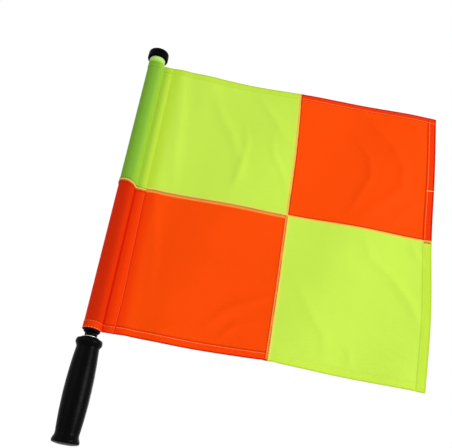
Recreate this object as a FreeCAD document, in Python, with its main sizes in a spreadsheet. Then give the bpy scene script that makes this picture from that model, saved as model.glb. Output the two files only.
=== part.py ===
import FreeCAD, Part
import math
import os
import Sketcher

# Linesman flag: a turning handle below, a straight pole above, and a square
# flag of four sewn cloth squares whose hoist side is a sleeve round the pole.
# The origin is the middle of the grip on the pole's axis, +Z runs up the pole
# and +X runs from the pole to the fly edge of the cloth. All sizes in mm.

SIZES = {
    # Grip: a moulded rubber barrel with a rolled flange at each end
    "grip_length": 118.0,
    "grip_belly_radius": 15.8,
    "grip_upper_waist_radius": 13.3,
    "grip_upper_waist_drop": 10.0,
    "grip_lower_waist_radius": 13.4,
    "grip_lower_waist_rise": 10.5,
    "grip_flange_radius": 15.8,
    "grip_shoulder_round": 4.0,
    "grip_lip_height": 0.9,
    "grip_lip_round": 2.4,
    "grip_lip_drop": 2.4,
    "grip_lip_depth": 1.2,
    "grip_throat_round": 4.0,
    "grip_foot_radius": 15.75,
    "grip_foot_rise": 5.0,
    "grip_foot_band": 2.2,
    "grip_foot_round": 1.8,
    "grip_end_rim_radius": 14.4,
    "grip_end_rim_rise": 1.45,
    "grip_end_flat_radius": 8.0,
    "grip_end_dome_round": 17.0,
    "grip_end_wall": 6.0,
    # Tube inside the grip, which fits round the collar's spigot
    "handle_tube_wall": 1.6,
    # Bearing at the top of the handle
    "collar_overlap": 1.0,
    "collar_height": 1.8,
    "collar_chamfer": 0.5,
    "collar_spigot_length": 16.0,
    "collar_spigot_wall": 2.84,
    "bush_wall": 2.0,
    "bush_flange_width": 1.6,
    "bush_flange_thickness": 1.2,
    "thrust_washer_clearance": 0.9,
    "thrust_washer_thickness": 1.0,
    "neck_washer_radius": 7.5,
    "neck_washer_thickness": 1.2,
    "swivel_radial_play": 0.06,
    "swivel_end_play": 0.2,
    "washer_hole_play": 0.3,
    # Shoulder bolt and its lock nut
    "bolt_shoulder_radius": 3.0,
    "bolt_thread_radius": 2.5,
    "bolt_head_height": 4.0,
    "bolt_head_corner_radius": 5.77,
    "bolt_tip_reach": 1.0,
    "nut_height": 5.0,
    "nut_corner_radius": 4.62,
    "nut_collar_radius": 3.7,
    "nut_collar_height": 1.2,
    "nut_pocket_play": 0.1,
    # Plug in the lower end of the pole
    "plug_neck_radius": 7.4,
    "plug_neck_height": 3.4,
    "plug_taper_height": 2.0,
    "plug_flange_radius": 9.9,
    "plug_flange_height": 4.6,
    "plug_spigot_length": 20.0,
    "plug_lead_in": 0.8,
    # Pole tube, stop ring and cap
    "pole_radius": 10.0,
    "pole_wall": 1.5,
    "sleeve_overlap": 1.0,
    "ring_gap": 0.3,
    "ring_height": 7.0,
    "ring_wall": 0.95,
    "ring_chamfer": 0.3,
    "cap_radius": 14.2,
    "cap_height": 14.2,
    "cap_end_wall": 2.7,
    "cap_top_round": 4.5,
    "cap_foot_chamfer": 1.1,
    # Cloth
    "flag_height": 381.0,
    "axis_to_fly_edge": 404.5,
    "axis_to_centre_seam": 210.5,
    "axis_to_sleeve_stitch": 24.0,
    "flap_margin": 2.0,
    "cloth_thickness": 0.6,
    "sleeve_play": 0.15,
    "crease_round": 2.4,
    "crease_blunt": 1.0,
    "top_hem": 7.5,
    "bottom_hem": 8.0,
    "fly_hem": 9.5,
    "seam_allowance": 6.0,
    # Folds of the cloth
    "fold_depth": 2.6,
    "fold_pitch": 168.0,
    "fold_lean_share": 0.42,
    "fold_phase_share": 0.1,
    "fold_start": 70.0,
    "ripple_depth": 1.0,
    "ripple_pitch": 44.0,
    "ripple_reach": 88.0,
    # Sewing thread
    "thread_width": 0.6,
    "thread_height": 0.25,
    "seam_thread_width": 3.2,
    "cut_overrun": 4.0,
}

# Counts and shares of the cloth's sections, which set how finely its folds are followed

CLOTH_STATIONS = 14
CLOTH_LEVELS = 7
STATION_CROWDING_SHARE = 1.4
FLAT_ARC_SHARE = 0.001

doc = FreeCAD.newDocument("linesman_flag")
sheet = doc.addObject("Spreadsheet::Sheet", "sizes")
for row, (alias, value) in enumerate(SIZES.items(), start=1):
    sheet.set("A%d" % row, alias)
    sheet.set("B%d" % row, str(value))
    sheet.setAlias("B%d" % row, alias)
doc.recompute()


def cells(formula):
    """Turns a formula in plain size names into one that reads the sheet's cells."""
    words = []
    for word in formula.replace("(", " ( ").replace(")", " ) ").split():
        words.append("sizes." + word if word in SIZES else word)
    return " ".join(words)


def number(formula):
    """Works a formula out from the sheet."""
    return float(sheet.evalExpression(cells(formula).replace("sizes.", "")))


# Heights along the pole, as formulas of the sheet's sizes

GRIP_TOP = "grip_length / 2"
GRIP_END = "0 - grip_length / 2"
TUBE_FOOT = "( 0 - grip_length / 2 + grip_end_wall )"
COLLAR_TOP = "( grip_length / 2 + collar_height )"
SPIGOT_FOOT = "( grip_length / 2 - collar_spigot_length )"
BUSH_FOOT = "( %s - bush_flange_thickness )" % SPIGOT_FOOT
THRUST_FOOT = "( %s - thrust_washer_thickness )" % BUSH_FOOT
HEAD_TOP = "( %s - swivel_end_play )" % THRUST_FOOT
HEAD_FOOT = "( %s - bolt_head_height )" % HEAD_TOP
NECK_TOP = "( %s + neck_washer_thickness )" % COLLAR_TOP
PLUG_FOOT = "( %s + swivel_end_play )" % NECK_TOP
TAPER_FOOT = "( %s + plug_neck_height )" % PLUG_FOOT
FLANGE_FOOT = "( %s + plug_taper_height )" % TAPER_FOOT
POLE_FOOT = "( %s + plug_flange_height )" % FLANGE_FOOT
PLUG_TOP = "( %s + plug_spigot_length )" % POLE_FOOT
NUT_FOOT = "( %s - nut_height )" % PLUG_TOP
FLAG_FOOT = "( %s - sleeve_overlap )" % POLE_FOOT
FLAG_MIDDLE = "( %s + flag_height / 2 )" % FLAG_FOOT
FLAG_TOP = "( %s + flag_height )" % FLAG_FOOT
RING_FOOT = "( %s + ring_gap )" % FLAG_TOP
CAP_FOOT = "( %s + ring_height )" % RING_FOOT
CAP_TOP = "( %s + cap_height )" % CAP_FOOT
POLE_TOP = "( %s - cap_end_wall )" % CAP_TOP
BUSH_BORE = "( bolt_shoulder_radius + swivel_radial_play )"
WASHER_BORE = "( bolt_shoulder_radius + washer_hole_play )"
BUSH_RADIUS = "( %s + bush_wall )" % BUSH_BORE
TUBE_BORE = "( %s + collar_spigot_wall )" % BUSH_RADIUS
TUBE_RADIUS = "( %s + handle_tube_wall )" % TUBE_BORE
COLLAR_RADIUS = "( %s + collar_overlap )" % TUBE_RADIUS
THRUST_RADIUS = "( %s - thrust_washer_clearance )" % TUBE_BORE
POLE_BORE = "( pole_radius - pole_wall )"

pieces = []


def keep(piece, label):
    """Names a finished piece and puts it on the list of nodes."""
    piece.Label = label
    pieces.append(piece)
    return piece


def origin_plane(body, role):
    """The body's own origin plane of that role."""
    for feature in body.Origin.OriginFeatures:
        if feature.Role == role:
            return feature
    raise ValueError("no plane " + role)


def arc_geometry(start, end, radius, side):
    """A circular arc between two corners; side +1 bulges to the right of the way, -1 to the left."""
    chord = end - start
    half = chord.Length / 2
    across = FreeCAD.Vector(chord.y, -chord.x, 0).normalize()
    centre = (start + end) / 2 - across * side * math.sqrt(max(radius * radius - half * half, 0))
    circle = Part.Circle(centre, FreeCAD.Vector(0, 0, 1), radius)
    first = math.atan2(start.y - centre.y, start.x - centre.x)
    last = math.atan2(end.y - centre.y, end.x - centre.x)
    if side > 0:
        return Part.ArcOfCircle(circle, first, last), 1, 2
    return Part.ArcOfCircle(circle, last, first), 2, 1


def closed_sketch(body, name, role, corners):
    """A closed sketch. Each corner is (across, up) or (across, up, radius, side), in formulas of the
    sheet's sizes; with a radius, the edge that arrives at that corner is an arc."""
    sketch = body.newObject("Sketcher::SketchObject", name)
    sketch.AttachmentSupport = [(origin_plane(body, role), "")]
    sketch.MapMode = "FlatFace"
    spots = [FreeCAD.Vector(number(c[0]), number(c[1]), 0) for c in corners]
    ends = []
    for index, corner in enumerate(corners):
        start, end = spots[index - 1], spots[index]
        if len(corner) == 4:
            arc, head, tail = arc_geometry(start, end, number(corner[2]), corner[3])
            edge = sketch.addGeometry(arc, False)
            bend = sketch.addConstraint(Sketcher.Constraint("Radius", edge, number(corner[2])))
            sketch.setExpression("Constraints[%d]" % bend, cells(corner[2]))
        else:
            edge = sketch.addGeometry(Part.LineSegment(start, end), False)
            head, tail = 1, 2
        ends.append((edge, head, tail))
    for index, corner in enumerate(corners):
        edge, head, tail = ends[index]
        after, after_head, after_tail = ends[(index + 1) % len(corners)]
        sketch.addConstraint(Sketcher.Constraint("Coincident", edge, tail, after, after_head))
        for kind, axis, value in (("DistanceX", -2, corner[0]), ("DistanceY", -1, corner[1])):
            if value == "0":
                sketch.addConstraint(Sketcher.Constraint("PointOnObject", edge, tail, axis))
                continue
            place = sketch.addConstraint(Sketcher.Constraint(kind, -1, 1, edge, tail, number(value)))
            sketch.setExpression("Constraints[%d]" % place, cells(value))
    return sketch


def turned(label, corners):
    """A piece turned about the pole's axis from a half section."""
    body = doc.addObject("PartDesign::Body", label)
    sketch = closed_sketch(body, label + "_section", "XZ_Plane", corners)
    turn = body.newObject("PartDesign::Revolution", label + "_turn")
    turn.Profile = sketch
    turn.ReferenceAxis = (sketch, ["V_Axis"])
    turn.Angle = 360
    doc.recompute()
    return body


def cylinder(name, radius, foot, height):
    """An upright cylinder on the pole's axis."""
    solid = doc.addObject("Part::Cylinder", name)
    solid.setExpression("Radius", cells(radius))
    solid.setExpression("Height", cells(height))
    solid.setExpression("Placement.Base.z", cells(foot))
    return solid


def prism(name, corner_radius, foot, height):
    """An upright hexagonal prism on the pole's axis."""
    solid = doc.addObject("Part::Prism", name)
    solid.Polygon = 6
    solid.setExpression("Circumradius", cells(corner_radius))
    solid.setExpression("Height", cells(height))
    solid.setExpression("Placement.Base.z", cells(foot))
    return solid


def cut(name, base, tool):
    """The base less the tool."""
    result = doc.addObject("Part::Cut", name)
    result.Base = base
    result.Tool = tool
    return result


def pipe(label, radius, bore, foot, height):
    """A tube, ring or washer on the pole's axis."""
    outer = cylinder(label + "_outside", radius, foot, height)
    inner = cylinder(label + "_bore", bore, foot, height)
    return keep(cut(label, outer, inner), label)


# Handle: grip, tube, collar, bush and washers


def make_grip():
    """The rubber grip: domed closed end, conical foot, barrel, waist, rolled flange and open top."""
    waist = "( %s - grip_upper_waist_drop )" % GRIP_TOP
    shoulder = "( %s - grip_shoulder_round )" % GRIP_TOP
    lip = "( %s - grip_lip_height )" % shoulder
    throat = "( %s - grip_lip_drop )" % lip
    foot_top = "( %s + grip_foot_rise )" % GRIP_END
    foot_bottom = "( %s - grip_foot_band )" % foot_top
    body = turned("grip", [
        ("0", GRIP_END),
        ("grip_end_flat_radius", GRIP_END),
        ("grip_end_rim_radius", "%s + grip_end_rim_rise" % GRIP_END, "grip_end_dome_round", 1),
        ("grip_foot_radius", foot_bottom, "grip_foot_round", 1),
        ("grip_foot_radius", foot_top),
        ("grip_lower_waist_radius", "%s + grip_lower_waist_rise" % GRIP_END),
        ("grip_upper_waist_radius", waist, BARREL_ROUND, 1),
        ("grip_flange_radius - grip_lip_depth", throat, "grip_throat_round", -1),
        ("grip_flange_radius", lip, "grip_lip_round", 1),
        ("grip_flange_radius", shoulder),
        ("grip_flange_radius - grip_shoulder_round", GRIP_TOP, "grip_shoulder_round", 1),
        (TUBE_RADIUS, GRIP_TOP),
        (TUBE_RADIUS, TUBE_FOOT),
        ("0", TUBE_FOOT),
    ])
    keep(body, "grip")


# The barrel is one arc through both waists that swells to the belly's radius

BARREL_SPAN = "( grip_length - grip_upper_waist_drop - grip_lower_waist_rise )"
BARREL_SWELL = "( grip_belly_radius - ( grip_upper_waist_radius + grip_lower_waist_radius ) / 2 )"
BARREL_ROUND = "( %s * %s / 8 / %s + %s / 2 )" % (BARREL_SPAN, BARREL_SPAN, BARREL_SWELL, BARREL_SWELL)


def make_collar():
    """The collar that closes the top of the handle and holds the bush."""
    body = turned("handle_collar", [
        (BUSH_RADIUS, SPIGOT_FOOT),
        (TUBE_BORE, SPIGOT_FOOT),
        (TUBE_BORE, GRIP_TOP),
        (COLLAR_RADIUS, GRIP_TOP),
        (COLLAR_RADIUS, "%s - collar_chamfer" % COLLAR_TOP),
        ("%s - collar_chamfer" % COLLAR_RADIUS, COLLAR_TOP),
        (BUSH_RADIUS, COLLAR_TOP),
    ])
    keep(body, "handle_collar")


def make_bush():
    """The bearing bush, flanged below, that the bolt's shoulder turns in."""
    flange = "( %s + bush_flange_width )" % BUSH_RADIUS
    body = turned("swivel_bush", [
        (BUSH_BORE, BUSH_FOOT),
        (flange, BUSH_FOOT),
        (flange, SPIGOT_FOOT),
        (BUSH_RADIUS, SPIGOT_FOOT),
        (BUSH_RADIUS, COLLAR_TOP),
        (BUSH_BORE, COLLAR_TOP),
    ])
    keep(body, "swivel_bush")


make_grip()
pipe("handle_tube", TUBE_RADIUS, TUBE_BORE, TUBE_FOOT, "grip_length - grip_end_wall")
make_collar()
make_bush()
pipe("thrust_washer", THRUST_RADIUS, WASHER_BORE, THRUST_FOOT, "thrust_washer_thickness")
pipe("neck_washer", "neck_washer_radius", WASHER_BORE, COLLAR_TOP, "neck_washer_thickness")


# Pole: shoulder bolt, nut, plug, tube, stop ring and cap


def make_bolt():
    """The shoulder bolt: its head hangs in the handle tube and its thread holds the pole's plug."""
    head = prism("bolt_head", "bolt_head_corner_radius", HEAD_FOOT, "bolt_head_height")
    shoulder = cylinder("bolt_shoulder", "bolt_shoulder_radius", HEAD_TOP, "%s - %s" % (PLUG_FOOT, HEAD_TOP))
    thread = cylinder("bolt_thread", "bolt_thread_radius", PLUG_FOOT,
                      "%s + bolt_tip_reach - %s" % (PLUG_TOP, PLUG_FOOT))
    bolt = doc.addObject("Part::MultiFuse", "swivel_bolt")
    bolt.Shapes = [head, shoulder, thread]
    keep(bolt, "swivel_bolt")


def make_nut():
    """The lock nut in the plug's pocket, with its round locking collar on top."""
    hexagon = prism("nut_hexagon", "nut_corner_radius", NUT_FOOT, "nut_height - nut_collar_height")
    collar = cylinder("nut_collar", "nut_collar_radius", NUT_FOOT, "nut_height")
    blank = doc.addObject("Part::MultiFuse", "nut_blank")
    blank.Shapes = [hexagon, collar]
    keep(cut("lock_nut", blank, cylinder("nut_bore", "bolt_thread_radius", NUT_FOOT, "nut_height")), "lock_nut")


def make_plug():
    """The stepped plug: neck, taper, flange under the sleeve, and spigot inside the pole tube."""
    body = turned("plug_blank", [
        ("bolt_thread_radius", PLUG_FOOT),
        ("plug_neck_radius", PLUG_FOOT),
        ("plug_neck_radius", TAPER_FOOT),
        ("plug_flange_radius", FLANGE_FOOT),
        ("plug_flange_radius", POLE_FOOT),
        (POLE_BORE, POLE_FOOT),
        (POLE_BORE, "%s - plug_lead_in" % PLUG_TOP),
        ("%s - plug_lead_in" % POLE_BORE, PLUG_TOP),
        ("bolt_thread_radius", PLUG_TOP),
    ])
    pocket = prism("nut_pocket", "nut_corner_radius + nut_pocket_play", NUT_FOOT, "nut_height + cut_overrun")
    keep(cut("pole_plug", body, pocket), "pole_plug")


def make_ring():
    """The pale ring that stops the sleeve below the cap."""
    outside = "( pole_radius + ring_wall )"
    body = turned("stop_ring", [
        ("pole_radius", RING_FOOT),
        ("%s - ring_chamfer" % outside, RING_FOOT),
        (outside, "%s + ring_chamfer" % RING_FOOT),
        (outside, CAP_FOOT),
        ("pole_radius", CAP_FOOT),
    ])
    keep(body, "stop_ring")


def make_cap():
    """The domed rubber cap over the pole's top."""
    body = turned("top_cap", [
        ("pole_radius", CAP_FOOT),
        ("cap_radius - cap_foot_chamfer", CAP_FOOT),
        ("cap_radius", "%s + cap_foot_chamfer" % CAP_FOOT),
        ("cap_radius", "%s - cap_top_round" % CAP_TOP),
        ("cap_radius - cap_top_round", CAP_TOP, "cap_top_round", 1),
        ("0", CAP_TOP),
        ("0", POLE_TOP),
        ("pole_radius", POLE_TOP),
    ])
    keep(body, "top_cap")


make_bolt()
make_plug()
make_nut()
pipe("pole_tube", "pole_radius", POLE_BORE, POLE_FOOT, "%s - %s" % (POLE_TOP, POLE_FOOT))
make_ring()
make_cap()


# Cloth: numbers read from the sheet, because its folds are worked out in code

thickness = number("cloth_thickness")
overrun = number("cut_overrun")
flag_foot = number(FLAG_FOOT)
flag_middle = number(FLAG_MIDDLE)
flag_top = number(FLAG_TOP)
fly_edge = number("axis_to_fly_edge")
centre_seam = number("axis_to_centre_seam")
stitch_line = number("axis_to_sleeve_stitch")
flap_edge = number("axis_to_sleeve_stitch + flap_margin")
sleeve_bore = number("pole_radius + sleeve_play")
thread_height = number("thread_height")


def fold(along, up):
    """How far the cloth lies behind the pole's plane: long leaning folds that grow towards the fly
    edge, and a short ripple that comes forward beside the sleeve."""
    reach = max(along - flap_edge, 0)
    start = min(reach / number("fold_start"), 1)
    rise = (1 - math.cos(math.pi * start)) / 2
    lean = number("fold_lean_share") * (up - flag_middle)
    turn = (reach - lean) / number("fold_pitch") + number("fold_phase_share")
    growth = (1 + reach / (fly_edge - flap_edge)) / 2
    long_fold = number("fold_depth") * rise * growth * math.sin(2 * math.pi * turn)
    left = max(1 - reach / number("ripple_reach"), 0)
    ripple = number("ripple_depth") * left * left * math.sin(2 * math.pi * reach / number("ripple_pitch"))
    return long_fold - ripple


def cloth_stations():
    """Places along the cloth where one arc of a section ends: closer together beside the sleeve."""
    span = fly_edge + overrun - flap_edge
    shares = [(k / CLOTH_STATIONS) ** STATION_CROWDING_SHARE for k in range(CLOTH_STATIONS + 1)]
    return [flap_edge + span * share for share in shares]


def cloth_edge(start, middle, end):
    """One stretch of a section: an arc, or a line where the cloth is flat."""
    flat = (start + end) / 2
    if (middle - flat).Length < thickness * FLAT_ARC_SHARE:
        return Part.LineSegment(start, end).toShape()
    return Part.Arc(start, middle, end).toShape()


def cloth_section(up, front, back, stations):
    """A level section through a layer of cloth, from its front face to its back face."""
    def spot(along, depth):
        return FreeCAD.Vector(along, fold(along, up) + depth, up)
    edges = []
    for here, there in zip(stations, stations[1:]):
        edges.append(cloth_edge(spot(here, front), spot((here + there) / 2, front), spot(there, front)))
    edges.append(Part.LineSegment(spot(stations[-1], front), spot(stations[-1], back)).toShape())
    for here, there in zip(reversed(stations), list(reversed(stations))[1:]):
        edges.append(cloth_edge(spot(here, back), spot((here + there) / 2, back), spot(there, back)))
    edges.append(Part.LineSegment(spot(stations[0], back), spot(stations[0], front)).toShape())
    return Part.Wire(edges)


def cloth_layer(front, back):
    """A layer of folded cloth that runs past the flag's edges, ready to be trimmed."""
    stations = [flap_edge - overrun] + cloth_stations()
    low = flag_foot - overrun
    high = flag_top + overrun
    levels = [low + (high - low) * k / (CLOTH_LEVELS - 1) for k in range(CLOTH_LEVELS)]
    return Part.makeLoft([cloth_section(up, front, back, stations) for up in levels], True, False)


def block(low_x, high_x, low_z, high_z):
    """A box through the whole depth of the folds, for trimming cloth."""
    deep = number("fold_depth + ripple_depth") + overrun
    corner = FreeCAD.Vector(low_x, -deep, low_z)
    return Part.makeBox(high_x - low_x, 2 * deep, high_z - low_z, corner)


def sleeve_wire(radius, bend, face, inner_end):
    """Half of the sleeve's outline and its mirror image, closed round the pole. The bend is the arc
    that leads from the round of the sleeve to the flat band beside it."""
    reach = radius + bend
    side = face + bend
    centre_x = math.sqrt(reach * reach - side * side)
    tangent = FreeCAD.Vector(centre_x, -side, 0) * (radius / reach)
    centre = FreeCAD.Vector(centre_x, -side, 0)
    if inner_end:
        back = inner_end
        foot = FreeCAD.Vector(centre_x - back, -side + math.sqrt(bend * bend - back * back), 0)
    else:
        foot = FreeCAD.Vector(centre_x, -face, 0)
    halfway = (tangent - centre) + (foot - centre)
    bend_middle = centre + halfway.normalize() * bend
    mirror = [FreeCAD.Vector(p.x, -p.y, 0) for p in (foot, bend_middle, tangent)]
    far = FreeCAD.Vector(-radius, 0, 0)
    low = FreeCAD.Vector(0, -radius, 0)
    high = FreeCAD.Vector(0, radius, 0)
    quarter = radius * math.sqrt(0.5)
    lead_angle = math.atan2(tangent.y + low.y, tangent.x + low.x)
    lead = FreeCAD.Vector(radius * math.cos(lead_angle), radius * math.sin(lead_angle), 0)
    edges = [
        Part.Arc(foot, bend_middle, tangent).toShape(),
        Part.Arc(tangent, lead, low).toShape(),
        Part.Arc(low, FreeCAD.Vector(-quarter, -quarter, 0), far).toShape(),
        Part.Arc(far, FreeCAD.Vector(-quarter, quarter, 0), high).toShape(),
        Part.Arc(high, FreeCAD.Vector(lead.x, -lead.y, 0), mirror[2]).toShape(),
        Part.Arc(mirror[2], mirror[1], mirror[0]).toShape(),
    ]
    return edges, foot, mirror[0]


def sleeve_solid(low, high):
    """The sleeve round the pole with its doubled, stitched band, as one length of cloth."""
    bend = number("crease_round")
    edges, foot, foot_mirror = sleeve_wire(sleeve_bore + thickness, bend, thickness, 0)
    corner_front = FreeCAD.Vector(flap_edge, -thickness, 0)
    corner_back = FreeCAD.Vector(flap_edge, thickness, 0)
    edges.append(Part.LineSegment(foot_mirror, corner_back).toShape())
    edges.append(Part.LineSegment(corner_back, corner_front).toShape())
    edges.append(Part.LineSegment(corner_front, foot).toShape())
    outside = Part.Face(Part.Wire(edges))
    inner_edges, foot, foot_mirror = sleeve_wire(sleeve_bore, bend + thickness, 0, number("crease_blunt"))
    inner_edges.append(Part.LineSegment(foot_mirror, foot).toShape())
    inside = Part.Face(Part.Wire(inner_edges))
    run = outside.extrude(FreeCAD.Vector(0, 0, high - low))
    hollow = inside.extrude(FreeCAD.Vector(0, 0, high - low + 2 * overrun))
    hollow.translate(FreeCAD.Vector(0, 0, -overrun))
    solid = run.cut(hollow)
    solid.translate(FreeCAD.Vector(0, 0, low))
    return solid


def shaped(label, shape):
    """Puts a shape worked out in code into the document as a named piece."""
    feature = doc.addObject("Part::Feature", label)
    feature.Shape = shape
    return keep(feature, label)


double_cloth = cloth_layer(-thickness, thickness)
behind_single = cloth_layer(0, thickness + overrun)


def square(label, low_x, high_x, low_z, high_z, borders, sleeve):
    """One cloth square: a single layer inside a border that is turned over and so double. Borders
    are the widths at the hoist, fly, lower and upper sides."""
    hoist, fly, lower, upper = borders
    whole = double_cloth.common(block(low_x, high_x, low_z, high_z))
    inner_low_x = low_x - overrun if sleeve else low_x + hoist
    thinned = behind_single.common(block(inner_low_x, high_x - fly, low_z + lower, high_z - upper))
    cloth = whole.cut(thinned)
    if sleeve:
        cloth = cloth.fuse(sleeve_solid(low_z, high_z))
    return shaped(label, cloth)


def make_squares():
    """The four squares: yellow above orange at the hoist, orange above yellow at the fly."""
    allowance = number("seam_allowance")
    top_hem = number("top_hem")
    bottom_hem = number("bottom_hem")
    fly_hem = number("fly_hem")
    upper_hoist = (0, allowance, allowance, top_hem)
    lower_hoist = (0, allowance, bottom_hem, allowance)
    upper_fly = (allowance, fly_hem, allowance, top_hem)
    lower_fly = (allowance, fly_hem, bottom_hem, allowance)
    square("hoist_square_yellow", flap_edge, centre_seam, flag_middle, flag_top, upper_hoist, True)
    square("hoist_square_orange", flap_edge, centre_seam, flag_foot, flag_middle, lower_hoist, True)
    square("fly_square_orange", centre_seam, fly_edge, flag_middle, flag_top, upper_fly, False)
    square("fly_square_yellow", centre_seam, fly_edge, flag_foot, flag_middle, lower_fly, False)


def thread_lines(label, boxes):
    """Lines of stitching on both faces of the double cloth, one ribbon for each box and face."""
    front = cloth_layer(-thickness - thread_height, -thickness)
    back = cloth_layer(thickness, thickness + thread_height)
    ribbons = []
    for box in boxes:
        for layer in (front, back):
            ribbons.extend(layer.common(block(*box)).Solids)
    return shaped(label, Part.makeCompound(ribbons))


def make_stitching():
    """Every sewn line: the sleeve's, the three hems' and the two seams'."""
    half = number("thread_width") / 2
    wide = number("seam_thread_width") / 2
    top_line = flag_top - number("top_hem")
    bottom_line = flag_foot + number("bottom_hem")
    fly_line = fly_edge - number("fly_hem")
    sleeve_line = (stitch_line - half, stitch_line + half, flag_foot, flag_top)
    thread_lines("sleeve_stitching", [sleeve_line])
    thread_lines("top_hem_stitching", [(flap_edge, fly_line, top_line - half, top_line + half)])
    thread_lines("bottom_hem_stitching", [(flap_edge, fly_line, bottom_line - half, bottom_line + half)])
    thread_lines("fly_hem_stitching", [(fly_line - half, fly_line + half, bottom_line + half, top_line - half)])
    level_seam = [
        (flap_edge, centre_seam - wide, flag_middle - wide, flag_middle + wide),
        (centre_seam + wide, fly_line - half, flag_middle - wide, flag_middle + wide),
    ]
    thread_lines("level_seam_stitching", level_seam)
    upright_seam = [(centre_seam - wide, centre_seam + wide, bottom_line + half, top_line - half)]
    thread_lines("upright_seam_stitching", upright_seam)


make_squares()
make_stitching()

doc.recompute()
for item in doc.Objects:
    if "Invalid" in item.State or "Error" in item.State:
        raise RuntimeError("failed: " + item.Name)
for piece in pieces:
    if piece.Shape.isNull() or not piece.Shape.isValid():
        raise RuntimeError("bad shape: " + piece.Label)

os.makedirs("parts", exist_ok=True)
for piece in pieces:
    piece.Shape.exportStep("parts/%s.step" % piece.Label)
    print(piece.Label, len(piece.Shape.Solids), "solids", round(piece.Shape.Volume, 2), "mm3")
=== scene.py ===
"""Looks of the linesman flag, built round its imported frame."""

import math

import bmesh
import bpy
from mathutils import Matrix, Vector, noise


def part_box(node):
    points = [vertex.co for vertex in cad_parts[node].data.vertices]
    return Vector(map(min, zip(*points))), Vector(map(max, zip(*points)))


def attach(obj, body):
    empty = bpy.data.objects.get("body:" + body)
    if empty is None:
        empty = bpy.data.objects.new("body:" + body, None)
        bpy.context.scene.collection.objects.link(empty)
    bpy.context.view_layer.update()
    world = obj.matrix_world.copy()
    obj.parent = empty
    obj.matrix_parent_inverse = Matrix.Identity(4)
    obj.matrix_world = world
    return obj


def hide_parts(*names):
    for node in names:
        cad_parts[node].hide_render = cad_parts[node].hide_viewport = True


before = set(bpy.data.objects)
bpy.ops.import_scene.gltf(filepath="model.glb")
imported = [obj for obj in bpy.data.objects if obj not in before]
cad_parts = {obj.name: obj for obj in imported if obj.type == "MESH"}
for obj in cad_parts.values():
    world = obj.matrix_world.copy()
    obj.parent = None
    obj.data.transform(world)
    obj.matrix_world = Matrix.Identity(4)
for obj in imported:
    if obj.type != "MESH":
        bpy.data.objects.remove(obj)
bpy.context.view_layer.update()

# Lengths are in millimetres until a piece is finished, with the pole on +Z and the fly edge of the
# cloth towards +X. The cloth's front looks towards -Y.

MM = 0.001


def foot(node):
    """Height of a CAD node's lowest point."""
    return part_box(node)[0].z / MM


def head(node):
    """Height of a CAD node's highest point."""
    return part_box(node)[1].z / MM


def radius_of(node):
    """Radius of a turned CAD node."""
    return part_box(node)[1].x / MM


FLAG_FOOT = foot("hoist_square_orange")
FLAG_MIDDLE = foot("hoist_square_yellow")
FLAG_TOP = head("hoist_square_yellow")
FLY_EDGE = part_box("fly_square_orange")[1].x / MM
CENTRE_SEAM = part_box("fly_square_orange")[0].x / MM

FLAG_HEIGHT = FLAG_TOP - FLAG_FOOT

# Cloth. A layer is half the distance between the middles of two layers that lie on each other.

CLOTH = 0.3
LAYER = 0.17
SLEEVE_RADIUS = 10.65
SLEEVE_SLACK = 0.9
SLACK_SIDE = 11.0
CREASE_ROUND = 2.2
FLAP_EDGE = 25.2
FLAP_TURN = 5.0
FLAP_LIFT = 3 * LAYER
FLAP_BULGE = 0.5
SLEEVE_STITCH = 23.9
TOP_HEM = 7.5
BOTTOM_HEM = 8.0
FLY_HEM = 9.5
SEAM_ALLOWANCE = 3.5
GRID = 1.9
HEM_SWELL = 0.3

# Where the hems' inner edges lie

TOP_HEM_LINE = FLAG_TOP - TOP_HEM
BOTTOM_HEM_LINE = FLAG_FOOT + BOTTOM_HEM
FLY_HEM_LINE = FLY_EDGE - FLY_HEM

# Folds that the cloth keeps: the same long leaning folds as the frame's

FOLD_DEPTH = 2.6
FOLD_PITCH = 168.0
FOLD_LEAN = 0.42
FOLD_PHASE = 0.1
FOLD_START = 70.0
RIPPLE_DEPTH = 1.2
RIPPLE_PITCH = 44.0
RIPPLE_REACH = 88.0
FIELD_SETTLE = 14.0
RIDGE_START = 12.0

# Small gathers beside hems and seams: depth, how far they reach, and their size along and across

PUCKER_DEPTH = 0.26
PUCKER_REACH = 6.0
PUCKER_SHORT = 5.5
PUCKER_LONG = 22.0

# Ridges of the cloth: (how far it stands forward, half its width, points on its crest). A point is
# (distance from the pole's axis, height above the flag's foot).

RIDGES = [
    (1.89, 8.5, [(40, 372), (47, 310), (52, 240), (58, 196)]),
    (1.5, 8.0, [(84, 362), (100, 325), (122, 292), (136, 258), (139, 222)]),
    (1.26, 7.6, [(150, 366), (176, 330), (194, 300)]),
    (1.15, 5.2, [(138, 306), (143, 280), (139, 244), (130, 204)]),
    (1.1, 5.2, [(176, 302), (180, 275), (196, 248), (203, 226)]),
    (1.47, 5.7, [(292, 322), (312, 296), (315, 266), (302, 236), (290, 208)]),
    (1.89, 7.6, [(300, 366), (340, 326), (360, 290), (358, 258), (332, 230), (306, 206)]),
    (1.05, 5.7, [(372, 362), (386, 330)]),
    (1.05, 5.7, [(386, 246), (362, 222), (350, 206)]),
    (1.26, 6.6, [(38, 186), (50, 120), (56, 54)]),
    (1.89, 6.2, [(132, 32), (156, 55), (182, 68), (204, 78)]),
    (1.47, 4.8, [(148, 18), (166, 36), (202, 44)]),
    (1.68, 7.6, [(312, 180), (322, 152), (360, 126), (380, 100), (392, 76)]),
    (1.05, 5.7, [(376, 182), (392, 156)]),
    (1.05, 7.6, [(232, 98), (252, 70), (274, 44), (280, 16)]),
    (0.84, 4.8, [(306, 38), (312, 14)]),
]

# How far the cut is out of square: (along, up) at even steps from the foot to the top, each at
# even steps from the pole's axis to the fly edge

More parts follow.
